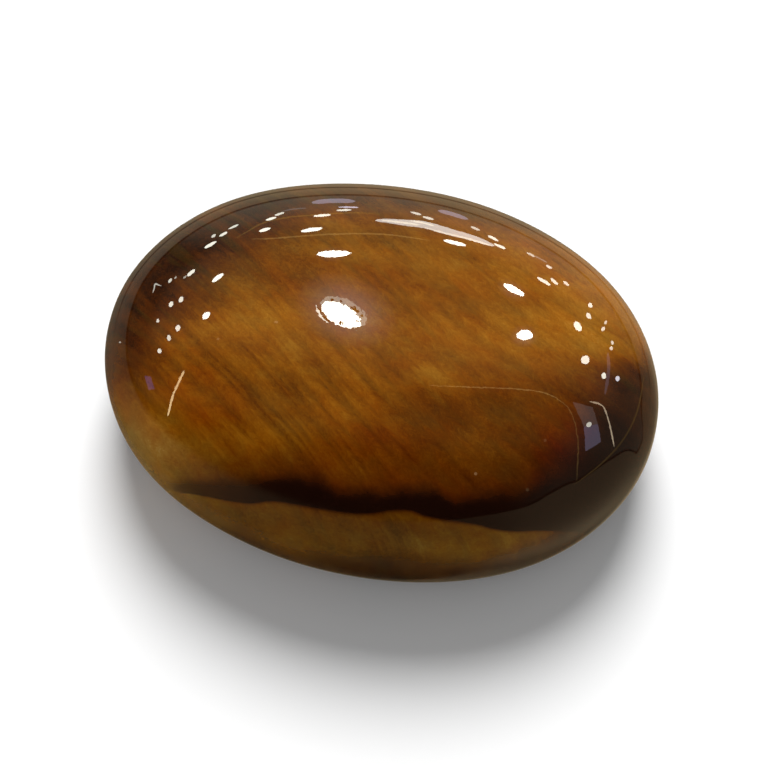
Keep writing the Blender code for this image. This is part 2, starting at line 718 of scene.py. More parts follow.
    # The mantle is a dark skin low on the stone's sides. On the front side it is also painted shade, where
    # light falls off toward the floor.
    mantle_and_shade_edge: Curve = (
        (-180, 51), (-170, 46), (-160, 40), (-150, 35), (-140, 20), (-125, -10), (-110, -10), (-100, -2),
        (-90, 4), (-80, 10), (-60, 3), (-50, 4), (-42, 16), (-30, 34), (-18, 40), (-8, 46), (0, 43),
        (12, 28), (25, 5), (40, -10), (50, 20), (60, 38), (75, 45), (90, 52), (105, 53), (120, 53),
        (135, 55.5), (150, 56.5), (165, 54), (180, 51),
    )
    mantle_and_shade_depth: Curve = (
        (-180, 1.0), (-170, 0.9), (-160, 0.55), (-150, 0.12), (-140, 0.0), (-120, 0.0), (-110, 0.3),
        (-100, 0.3), (-90, 0.45), (-80, 0.68), (-60, 0.85), (-40, 1.0), (0, 1.0), (12, 0.8), (25, 0.5),
        (40, 0.2), (60, 0.6), (75, 0.7), (90, 0.68), (105, 0.74), (120, 0.9), (135, 1.0), (180, 1.0),
    )
    mantle_and_shade_reach: float = 12.0
    mantle_and_shade_tone: float = -0.42

    olive: Colour = linear(104, 78, 18)
    olive_fibres: Step = Step(0.5, 0.1, 0.0, 0.10)
    ember: Colour = linear(150, 76, 3)
    ember_fibres: Step = Step(0.5, 0.9, 0.0, 0.10)
    hue_clouds: Clouds = Clouds((1.2, 1.7, 1.2), 2.0, 0.55, 0.60)
    hues: tuple[Patch, ...] = (
        Patch("gold lower left rim", (-6.7, -4.1), (1.7, 1.0), -42, -0.08),
        Patch("red right of the hollow", (6.4, -3.0), (0.9, 1.3), -20, -0.42),
        Patch("red foot of the lobe", (0.4, -4.0), (1.7, 0.6), 4, -0.20),
        Patch("red lower left", (-4.6, -3.5), (1.6, 0.8), -35, -0.20),
        Patch("khaki upper left", (-5.7, 0.8), (1.3, 0.6), 10, 0.28),
        Patch("khaki back", (-1.8, 2.8), (4.2, 0.8), 5, 0.20),
        Patch("khaki lower middle", (-2.0, -3.9), (1.3, 0.5), -10, 0.12),
        Patch("khaki mantle", (0.3, 4.6), (3.0, 0.6), 3, 0.15),
        Patch("khaki underside", (2.6, -6.35), (3.6, 0.35), 8, 0.13),
        Patch("khaki over the seam", (5.1, -3.7), (1.0, 0.5), 20, 0.22),
    )
    blue_power: float = 4.0

    khaki_cast: Colour = (0.95, 1.22, 2.0)
    khaki_edge: Curve = (
        (-180, -20), (-165, -6), (-150, 8), (-138, 18), (-128, 20), (-121, 15), (-104, 26), (-86, 29),
        (-72, 31), (-60, 28), (-48, 24), (-36, 20), (-20, 0), (0, -38), (32, -38), (45, 16), (60, 34),
        (75, 44), (90, 47), (115, 48), (128, 40), (140, 10), (150, -20), (165, -38), (180, -20),
    )
    khaki_reach: float = 8.0
    foot_shade: float = 0.2

    seam_dark: Colour = linear(32, 13, 6)
    seam_upper: Curve = (
        (-180, -37), (-136, -14), (-130, 2), (-124, 16), (-118, 26), (-112, 31.5), (-107, 36), (-102, 39.5),
        (-97, 40.5), (-92, 38), (-86, 39), (-74, 41.5), (-69, 41.5), (-64, 38), (-58, 38), (-49, 36),
        (-38, 38), (-27, 38), (-9, 39), (3, 36), (13, 30), (22, 20), (32, 0), (60, -30), (180, -37),
    )
    seam_lower: Curve = (
        (-180, -38), (-136, -16), (-128, -3), (-121, 10), (-116, 15.5), (-110, 21), (-104, 27.5),
        (-97, 29.5), (-86, 31), (-76, 34), (-72, 32), (-62, 27.5), (-56, 22), (-48, 16), (-42, 8),
        (-36, -6), (-30, -24), (-24, -38), (180, -38),
    )
    seam_softness: Curve = (
        (-180, 5.0), (-115, 5.0), (-105, 3.6), (-60, 3.8), (-50, 4.5), (-40, 6.0), (-30, 8.0), (180, 8.0),
    )
    seam_depth: Curve = (
        (-180, 0.0), (-137, 0.0), (-127, 0.62), (-114, 0.85), (-98, 1.0), (-45, 1.0), (-35, 0.97),
        (-25, 0.9), (-15, 0.7), (-5, 0.42), (5, 0.2), (14, 0.0), (180, 0.0),
    )
    raggedness: Clouds = Clouds((1.6, 1.6, 1.6), 4.0, 0.62, 6.0)
    seam_fading: Step = Step(-1.0, 1.0)
    seam_foot: Step = Step(-1.0, 1.0)
    rust: Colour = linear(150, 62, 30)
    rust_share: float = 0.68
    rust_rise: Step = Step(-17.0, 0.0)
    rust_foot: Step = Step(-2.0, 1.0)
    rust_power: float = 2.0

    polish_roughness: Step = Step(0.0, 1.0, 0.008, 0.014)
    refraction: float = 1.54
    pits: Clouds = Clouds((10.0, 10.0, 10.0), 0.0)
    unevenness: float = 0.0000002

    def make(self) -> bpy.types.Material:
        """Makes the stone's material.

        Returns:
            The material, wired.
        """
        material, wires = new_material("polished_tigers_eye")
        StonePattern(self, wires).paint()
        return material


class StonePattern:
    """Wires the tiger's eye into one material."""

    def __init__(self, finish: TigersEye, wires: Wiring) -> None:
        """Finds the point on the stone and lays the fibres.

        Args:
            finish: The finish that is wired.
            wires: The material's wiring.
        """
        self.finish = finish
        self.wires = wires
        source = wires.add("TexCoord").outputs["Object"]
        self.place = wires.vector_maths("MULTIPLY", source, (1 / MM, 1 / MM, 1 / MM))
        self.fibres = wires.group(
            fibre_field_group(),
            position=self.place,
            lean=finish.lean,
            bend=finish.bend,
            waviness=finish.waviness,
        )
        self.streaks = self.laid()
        self.feathered = self.slid()
        stone_tree = round_the_stone_group(finish.form)
        self.around = wires.group(stone_tree, position=self.place)
        self.feathered_around = wires.group(stone_tree, position=self.feathered)
        self.patch_tree = patch_group()

    def paint(self) -> None:
        """Wires the colours and the polish over them."""
        colour = self.wires.ramp(self.tone(), self.finish.tones)
        self.polish(self.seamed(self.cast(self.hued(self.flecked(colour)))))

    def laid(self) -> dict[Lines, Socket]:
        """The layers of fibres.

        Returns:
            Each layer's streaks, 0 to 1.
        """
        group = streaks_group()
        made = {}
        for lines in Lines:
            across, along, _ = lines.value
            made[lines] = self.wires.group(
                group,
                along=self.fibres["Along"],
                across=self.fibres["Across"],
                height=self.fibres["Height"],
                per_mm_across=across,
                per_mm_along=along,
            )[0]
        return made

    def slid(self) -> Socket:
        """The point slid along its fibre by an amount that differs from fibre to fibre.

        Returns:
            The point at which clouds and patches are read, so that their edges end in fibres.
        """
        wires, reach = self.wires, self.finish.feathering
        coarse = wires.times_plus(self.streaks[Lines.MIDDLE], reach, -reach / 2)
        fine = wires.times_plus(self.streaks[Lines.FINE], reach, -reach / 2)
        slide = wires.times_plus(fine, self.finish.fine_feathering, coarse)
        shift = wires.vector(*(wires.times(slide, part) for part in self.finish.fibre_direction))
        return wires.vector_maths("ADD", self.place, shift)

    def tone(self) -> Socket:
        """How light the stone is.

        Returns:
            The tone, from 0 for near black to 1 for pale gold.
        """
        wires, finish = self.wires, self.finish
        tone = finish.base_tone
        for layer in (finish.clouds, finish.bands, finish.mottling, finish.speckle, finish.grain):
            tone = wires.drifted(tone, self.feathered, layer)
        tone = self.patched(tone, finish.patches)
        # The mantle: dark skin, and painted shade low on the front side.
        tone = wires.times_plus(self.mantle_and_shade(), finish.mantle_and_shade_tone, tone)
        tone = self.veined(tone)
        fibre_tone = 0.0
        for lines, streak in self.streaks.items():
            strength = lines.value[2]
            fibre_tone = wires.times_plus(wires.minus(streak, 0.5), strength, fibre_tone)
        shown = self.patched(finish.calm_share, finish.striped)
        return wires.times_plus(fibre_tone, shown, tone)

    def patched(self, value: Value, patches: Sequence[Patch]) -> Socket:
        """Adds soft patches to a value.

        Args:
            value: The value so far.
            patches: The patches.

        Returns:
            The value, higher or lower by each patch's tone where that patch lies.
        """
        flat = self.wires.vector_maths("MULTIPLY", self.feathered, (1.0, 1.0, 0.0))
        for patch in patches:
            mask = self.wires.group(
                self.patch_tree,
                position=flat,
                centre=(*patch.centre, 0.0),
                half_size=(*patch.half_size, 1.0),
                tilt=patch.tilt,
                softness=patch.softness,
            )[0]
            mask.node.label = patch.name
            value = self.wires.times_plus(mask, patch.tone, value)
        return value

    def veined(self, tone: Value) -> Socket:
        """Adds the veins to the tone.

        Args:
            tone: The tone so far.

        Returns:
            The tone, higher or lower in each vein.
        """
        group = vein_group()
        for vein in self.finish.veins:
            mask = self.wires.group(
                group,
                along=self.fibres["Along"],
                across=self.fibres["Across"],
                place=vein.place,
                half_width=vein.half_width,
                start=vein.start,
                end=vein.end,
            )[0]
            tone = self.wires.times_plus(mask, vein.tone, tone)
        return tone

    def below(self, edge: Curve, reach: float) -> Socket:
        """How far a point is below a drawn edge.

        Args:
            edge: The edge's lift round the stone.
            reach: How far on each side of it the change is spread, in degrees.

        Returns:
            1 well below the edge and 0 well above it.
        """
        height = self.wires.read(edge, self.feathered_around["Turn"], LIFTS)
        above = self.wires.minus(self.feathered_around["Lift"], height)
        return self.wires.rise(above, reach, -reach)

    def mantle_and_shade(self) -> Socket:
        """The dark brown skin low on the stone, with painted shade on its front side, 1 where it is full
        and 0 on the dome.
        """
        depth = self.wires.read(self.finish.mantle_and_shade_depth, self.feathered_around["Turn"])
        return self.wires.times(self.below(self.finish.mantle_and_shade_edge, self.finish.mantle_and_shade_reach), depth)

    def flecked(self, colour: Socket) -> Socket:
        """The colour with the olive and the glowing orange that run in the fibres.

        Args:
            colour: The stone's colour so far.

        Returns:
            The flecked colour.
        """
        wires, finish = self.wires, self.finish
        olive_share = wires.rise(self.streaks[Lines.MIDDLE], *finish.olive_fibres)
        colour = wires.mix(olive_share, colour, finish.olive)
        ember_share = wires.rise(self.streaks[Lines.BROAD], *finish.ember_fibres)
        return wires.mix(ember_share, colour, finish.ember)

    def hued(self, colour: Socket) -> Socket:
        """The colour leaned to khaki or to red, in fine clouds and in a few patches.

        Args:
            colour: The stone's colour so far.

        Returns:
            The leaned colour.
        """
        wires, finish = self.wires, self.finish
        lean = self.patched(wires.drifted(1.0, self.feathered, finish.hue_clouds), finish.hues)
        blue = wires.maths("POWER", lean, finish.blue_power)
        return wires.mix(1.0, colour, wires.vector(1.0, lean, blue), "MULTIPLY")

    def cast(self, colour: Socket) -> Socket:
        """The colour with the khaki cast of the stone's lower side, darker at its foot.

        Args:
            colour: The stone's colour so far.

        Returns:
            The colour with its cast.
        """
        wires, finish = self.wires, self.finish
        share = self.below(finish.khaki_edge, finish.khaki_reach)
        colour = wires.mix(share, colour, finish.khaki_cast, "MULTIPLY")
        return wires.mix(wires.times(share, finish.foot_shade), colour, BLACK)

    def seamed(self, colour: Socket) -> Socket:
        """The colour with the near-black seam round the lower side, and rust along its upper edge.

        Args:
            colour: The stone's colour so far.

        Returns:
            The colour with the seam.
        """
        wires, finish = self.wires, self.finish
        turn, lift = self.around["Turn"], self.around["Lift"]
        upper = wires.drifted(wires.read(finish.seam_upper, turn, LIFTS), self.place, finish.raggedness)
        below = wires.minus(upper, lift)
        above = wires.minus(lift, wires.read(finish.seam_lower, turn, LIFTS))
        softness = wires.read(finish.seam_softness, turn, REACHES)
        depth = wires.read(finish.seam_depth, turn)
        rust = wires.times(wires.rise(below, *finish.rust_rise), wires.rise(above, *finish.rust_foot))
        rust = wires.times(rust, wires.maths("POWER", depth, finish.rust_power))
        colour = wires.mix(wires.times(rust, finish.rust_share), colour, finish.rust, "MULTIPLY")
        fading = wires.rise(wires.over(below, softness), *finish.seam_fading)
        dark = wires.times(wires.times(fading, wires.rise(above, *finish.seam_foot)), depth)
        return wires.mix(dark, colour, finish.seam_dark)

    def polish(self, colour: Socket) -> None:
        """Wires the glassy polish, with the tiny unevenness that polishing leaves.

        Args:
            colour: The stone's finished colour.
        """
        wires, finish = self.wires, self.finish
        pits = wires.clouds(self.place, finish.pits)
        uneven = {"Strength": 1.0, "Distance": finish.unevenness, "Height": pits}
        polished = {
            "Base Color": colour,
            "Roughness": wires.rise(self.streaks[Lines.FINE], *finish.polish_roughness),
            "Metallic": 0.0,
            "IOR": finish.refraction,
            "Normal": wires.shader("Bump", uneven),
        }
        wires.show(wires.shader("BsdfPrincipled", polished))


# ---------------------------------------------------------------- camera, floor and light


def direction(turn: float, elevation: float) -> Vector:
    """The unit vector at a turn from the front toward the right and an elevation, in degrees."""
    around, up = math.radians(turn), math.radians(elevation)
    return Vector((math.sin(around) * math.cos(up), -math.cos(around) * math.cos(up), math.sin(up)))


@dataclass
class Camera:
    """The camera, looking down at the stone from the front and a little to its right."""

    azimuth: float = 11.68
    elevation: float = 62.89
    distance: float = 0.100
    lens: float = 146.07
    sensor: float = 36.0
    frame_pixels: int = 765
    aim: tuple[float, float, float] = (0.000102, -0.000278, 0.00285)
    clip: Point = (0.001, 5.0)

    def back(self) -> Vector:
        """The direction from the stone to the camera."""
        return direction(self.azimuth, self.elevation)

    def place(self) -> Vector:
        """Where the camera stands."""
        return Vector(self.aim) + self.back() * self.distance

    def ray(self, pixel: Point) -> Vector:
        """The direction in which the camera sees a pixel.

        Args:
            pixel: Across and down, in the 765-pixel frame.

        Returns:
            A unit vector away from the camera.
        """
        back = self.back()
        right = Vector((0, 0, 1)).cross(back).normalized()
        up = back.cross(right)
        focal = self.lens / self.sensor * self.frame_pixels
        middle = self.frame_pixels / 2
        return (right * (pixel[0] - middle) + up * (middle - pixel[1]) - back * focal).normalized()

    def build(self) -> bpy.types.Object:
        """Adds the camera to the scene.

        Returns:
            The camera.
        """
        bpy.ops.object.camera_add(location=self.place())
        camera = bpy.context.active_object
        camera.name = "camera"
        camera.rotation_mode = "QUATERNION"
        camera.rotation_quaternion = (-self.back()).to_track_quat("-Z", "Y")
        camera.data.lens = self.lens
        camera.data.sensor_width = self.sensor
        camera.data.clip_start, camera.data.clip_end = self.clip
        bpy.context.scene.camera = camera
        return camera


@dataclass
class Studio:
    """A pale floor and a soft key light from behind, in a room that the polish sees as dim.

    The key light's turn is from the camera. Levels in the room are in degrees above the stone's own
    level, and walls are read on the parts of a unit direction: to the right, to the back and up.
    """

    camera: Camera

    floor_side: float = 3.0
    floor_colour: Colour = (0.93, 0.93, 0.93)
    floor_glow: float = 0.07
    key_turn: float = 177.0
    key_elevation: float = 47.0
    key_softness: float = 34.0
    key_strength: float = 3.75
    fill_strength: float = 0.27

    behind: float = 98.0
    room_glow: Colour = (1.0, 0.94, 0.70)
    open_back: Curve = (
        (-180, 0), (38, 0), (48, 0.15), (60, 0.6), (75, 0.95), (85, 1.0), (110, 1.0), (120, 0.8),
        (130, 0.3), (138, 0), (180, 0),
    )
    far_wall: Step = Step(0.15, 0.40, 0.0, 0.12)
    far_wall_foot: Step = Step(0.30, 0.52)
    low_wall: Step = Step(0.57, 0.34, 0.0, 0.18)
    lowest_wall: Step = Step(0.34, 0.20, 0.0, 0.22)
    near_wall: Step = Step(-0.40, -0.10, 0.0, 0.06)
    right_wall: Step = Step(0.55, 0.85, 0.0, 0.10)

    table_colour: Colour = (1.0, 0.77, 0.46)
    table_far_colour: Colour = (1.0, 0.85, 0.61)
    far_to_the_left: Step = Step(-0.3, -0.8)
    far_to_the_back: Step = Step(-0.1, 0.3)
    table_edge: Curve = (
        (-180, -1), (-165, 1), (-150, 6), (-110, 10), (-80, 9), (-65, 12), (-55, 12.5), (-47, 12),
        (-41, 13.5), (-36, 15.5), (-31, 16), (-22, 11), (-12, 7), (-4, 0), (2, -8), (8, -24), (13, -32),
        (17, -31), (20, -22), (24, -12), (30, -9), (45, -7), (90, -8), (120, -6.5), (135, -5.5), (150, -4),
        (165, -2), (180, -1),
    )
    table_edge_softness: Curve = (
        (-180, 1.5), (-165, 3.0), (-150, 9.0), (-100, 9.0), (-80, 3.0), (-65, 1.0), (180, 1.0),
    )
    table_side: Step = Step(-0.5, 1.5)
    rim_line: Step = Step(-4.0, -0.5, 0.0, 0.85)
    table_glow: Curve = (
        (-180, 0.22), (-165, 0.28), (-150, 0.24), (-120, 0.16), (-90, 0.12), (-70, 0.12), (-40, 0.27),
        (-10, 0.30), (20, 0.29), (40, 0.32), (60, 0.68), (80, 0.74), (105, 0.70), (130, 0.46), (148, 0.34),
        (165, 0.27), (180, 0.22),
    )
    table_fall: Curve = (
        (-180, 0.40), (-120, 0.35), (-90, 0.40), (-65, 0.55), (-40, 0.95), (0, 1.0), (25, 0.82), (50, 0.60),
        (80, 0.45), (101, 0.35), (180, 0.40),
    )
    fall_levels: Step = Step(-15.0, -60.0)
    groove_foot: Step = Step(-31.0, -27.0)
    groove_top: Step = Step(-23.0, -27.0)
    groove_behind: Step = Step(0.3, 0.7)
    groove_shade: float = -0.75
    under_shade: Step = Step(-64.0, -76.0, 1.0, 0.42)

    def build(self) -> None:
        """Adds the floor, the key light and the world."""
        bpy.context.scene.view_settings.view_transform = "Standard"
        self.floor()
        self.key()
        self.world()

    def floor(self) -> None:
        """The plain pale floor that the stone lies on, which the polish sees through the world."""
        bpy.ops.mesh.primitive_plane_add(size=self.floor_side)
        floor = bpy.context.active_object
        floor.name = "floor"
        material, wires = new_material("pale_floor")
        pale = {
            "Base Color": self.floor_colour,
            "Roughness": 1.0,
            "Specular IOR Level": 0.0,
            "Emission Color": WHITE,
            "Emission Strength": self.floor_glow,
        }
        wires.show(wires.shader("BsdfPrincipled", pale))
        floor.data.materials.append(material)
        floor.visible_glossy = False

    def key(self) -> None:
        """The soft key light, from behind the stone."""
        bpy.ops.object.light_add(type="SUN")
        key = bpy.context.active_object
        key.name = "key"
        toward = direction(self.camera.azimuth + self.key_turn, self.key_elevation)
        key.rotation_mode = "QUATERNION"
        key.rotation_quaternion = toward.to_track_quat("Z", "Y")
        key.data.energy = self.key_strength
        key.data.angle = math.radians(self.key_softness)
        key.visible_glossy = False

    def world(self) -> None:
        """A pale sky that lights the stone evenly and looks dim in its polish."""
        world = bpy.data.worlds.new("pale_room")
        bpy.context.scene.world = world
        world.use_nodes = True
        wires = Wiring(world.node_tree)
        path = wires.add("LightPath")
        seen = wires.mix(path.outputs["Is Camera Ray"], (self.fill_strength,) * 3, WHITE)
        colour = wires.mix(path.outputs["Is Glossy Ray"], seen, self.mirrored_room(wires))
        wires.show(wires.shader("Background", {"Color": colour}), "OutputWorld")

    def mirrored_room(self, wires: Wiring) -> Socket:
        """What the polish sees: a dark ceiling, a dim glow behind, and a warm table below.

        Args:
            wires: The world's wiring.

        Returns:
            The colour by direction.
        """
        x, y, z = wires.split(wires.add("TexCoord").outputs["Generated"])
        back_x, back_y = math.cos(math.radians(self.behind)), math.sin(math.radians(self.behind))
        behind = wires.times_plus(x, back_x, wires.times(y, back_y))
        turn = wires.times_plus(wires.maths("ARCTAN2", y, x), 0.5 / math.pi, 0.5)
        level = wires.times(wires.maths("ARCSINE", z), math.degrees(1))

        open_side = wires.read(self.open_back, turn)
        clear = wires.maths("MAXIMUM", wires.rise(z, *self.far_wall_foot), open_side)
        glow = wires.times(wires.rise(behind, *self.far_wall), clear)
        for wall in (self.low_wall, self.lowest_wall):
            glow = wires.times_plus(wires.rise(z, *wall), open_side, glow)
        for part, wall in ((behind, self.near_wall), (x, self.right_wall)):
            glow = wires.maths("ADD", wires.rise(part, *wall), glow)
        walls = wires.tinted(glow, self.room_glow)

        fall = wires.minus(wires.read(self.table_fall, turn, FALLS), 1.0)
        fading = wires.times_plus(fall, wires.rise(level, *self.fall_levels), 1.0)
        groove = wires.times(wires.rise(level, *self.groove_foot), wires.rise(level, *self.groove_top))
        groove = wires.times(groove, wires.rise(behind, *self.groove_behind))
        shine = wires.times(wires.read(self.table_glow, turn), fading)
        shine = wires.times(shine, wires.times_plus(groove, self.groove_shade, 1.0))
        shine = wires.times(shine, wires.rise(level, *self.under_shade))
        far = wires.times(wires.rise(x, *self.far_to_the_left), wires.rise(y, *self.far_to_the_back))
        table = wires.tinted(shine, wires.mix(far, self.table_colour, self.table_far_colour))

        drop = wires.minus(wires.read(self.table_edge, turn, LEVELS), level)
        under = wires.over(drop, wires.read(self.table_edge_softness, turn, REACHES))
        walls = wires.mix(wires.rise(under, *self.rim_line), walls, BLACK)
        return wires.mix(wires.rise(under, *self.table_side), walls, table)


# ---------------------------------------------------------------- lamps that glint in the polish


WARM = (1.0, 1.0, 0.87)
CREAM = (1.0, 0.72, 0.38)
VIOLET = (0.85, 0.82, 1.0)
MILKY = (0.93, 0.97, 0.93)
YELLOW = (1.0, 0.68, 0.24)
BUFF = (1.0, 0.76, 0.40)
PEACH = (1.0, 0.8, 0.55)
PALE_BLUE = (0.9, 0.9, 1.0)
ROSE = (1.0, 0.93, 0.88)
LILAC = (0.72, 0.68, 1.0)
INDIGO = (0.36, 0.32, 1.0)
HAZE = (1.0, 0.95, 0.98)

NUDGE = 0.02  # a small step along a glint, which also keeps its ends a little blunt

Rails = list[tuple[Point, Point]]


def off_middle(middle: Point, along: float, across: float, tilt: float) -> Point:
    """The point that lies so far along and across a glint, in pixels, whose tilt is in degrees."""
    cosine, sine = math.cos(math.radians(tilt)), math.sin(math.radians(tilt))
    return middle[0] + along * cosine - across * sine, middle[1] + along * sine + across * cosine


@dataclass(frozen=True)
class Spot:
    """A small lamp, by the oval glint that it makes on the dome, in pixels of the frame."""

    at: Point
    length: float
    width: float
    tilt: float = 0.0
    radiance: float = 30.0
    colour: Colour = WARM
    steps: int = 8
    nearer: float = 0.005

    def rails(self) -> Rails:
        """The glint's two sides.

        Returns:
            Pairs of points, one on each side, along the glint. Its ends are a hair blunt.
        """
        pairs = []
        for step in range(self.steps + 1):
            turn = math.pi * (step + NUDGE) / (self.steps + 2 * NUDGE)
            along, half = -math.cos(turn) * self.length / 2, math.sin(turn) * self.width / 2
            pairs.append(tuple(off_middle(self.at, along, side, self.tilt) for side in (half, -half)))
        return pairs


@dataclass(frozen=True)
class Shade(Spot):
    """A dark fleck in front of a lamp."""

    radiance: float = 0.0
    nearer: float = 0.015


@dataclass(frozen=True)
class Strip:
    """A long lamp or a bright edge in the room, by the line that it draws on the dome, in pixels."""

    path: tuple[Point, ...]
    width: float
    radiance: float
    colour: Colour = WARM
    steps_per_leg: int = 6
    end_share: float = 0.25

    def point(self, place: float) -> Point:
        """A point of the smooth curve through the path.

        Args:
            place: 0 at the path's start to 1 at its end.

        Returns:
            The point, in pixels.
        """
        legs = len(self.path) - 1
        leg = min(int(place * legs), legs - 1)
        t = place * legs - leg
        around = [self.path[min(max(leg + step, 0), legs)] for step in (-1, 0, 1, 2)]
        return tuple(
            (2 * b + (c - a) * t + (2 * a - 5 * b + 4 * c - d) * t**2 + (3 * b - a - 3 * c + d) * t**3) / 2
            for a, b, c, d in zip(*around)
        )

    def rails(self) -> Rails:
        """The line's two sides.

        Returns:
            Pairs of points, one on each side, along the line, which is tapered at its ends.
        """
        steps = self.steps_per_leg * (len(self.path) - 1)
        pairs = []
        for step in range(steps + 1):
            place = step / steps
            x, y = self.point(place)
            ahead, behind = self.point(min(place + NUDGE, 1.0)), self.point(max(place - NUDGE, 0.0))
            run = Vector((ahead[0] - behind[0], ahead[1] - behind[1])).normalized()
            taper = min(1.0, (min(place, 1 - place) / self.end_share + 2 * NUDGE) ** 0.5)
            half = self.width / 2 * taper
            pairs.append(((x - run.y * half, y + run.x * half), (x + run.y * half, y - run.x * half)))
        return pairs


@dataclass(frozen=True)
class Pane:
    """A window, by the four corners of its picture on the dome, in pixels."""

    corners: tuple[Point, Point, Point, Point]
    radiance: float
    colour: Colour = VIOLET
    steps: int = 6

    def rails(self) -> Rails:
        """The window's two upright sides.

        Returns:
            Pairs of points, one on each side, down the window.
        """
        first, second, third, fourth = (Vector(corner) for corner in self.corners)
        pairs = []
        for step in range(self.steps + 1):
            place = step / self.steps
            pairs.append((tuple(first.lerp(fourth, place)), tuple(second.lerp(third, place))))
        return pairs


@dataclass(frozen=True)
class Halo:
    """The soft haze round a strong lamp, by the oval that it fills on the dome, in pixels."""

    at: Point
    length: float
    width: float
    tilt: float
    radiance: float
    colour: Colour = HAZE
    fading: float = 3.5
    rings: int = 5
    steps: int = 20

    def ring(self, share: float) -> list[Point]:
        """One ring of the haze.

        Args:
            share: The ring's share of the whole oval.

        Returns:
            The ring's points, in pixels.
        """
        points = []
        for step in range(self.steps):
            turn = 2 * math.pi * step / self.steps
            along, across = math.cos(turn) * self.length / 2, math.sin(turn) * self.width / 2
            points.append(off_middle(self.at, along * share, across * share, self.tilt))
        return points

    def faces(self) -> list[tuple[int, ...]]:
        """The faces between the rings.

        Returns:
            Each face's corners, as places in the list of all the rings' points.
        """
        turns, size = range(self.steps), self.steps
        starts = range(0, self.rings * size, size)
        sides = [(start + turn, start + (turn + 1) % size) for start in starts for turn in turns]
        return [(first, second, second + size, first + size) for first, second in sides]


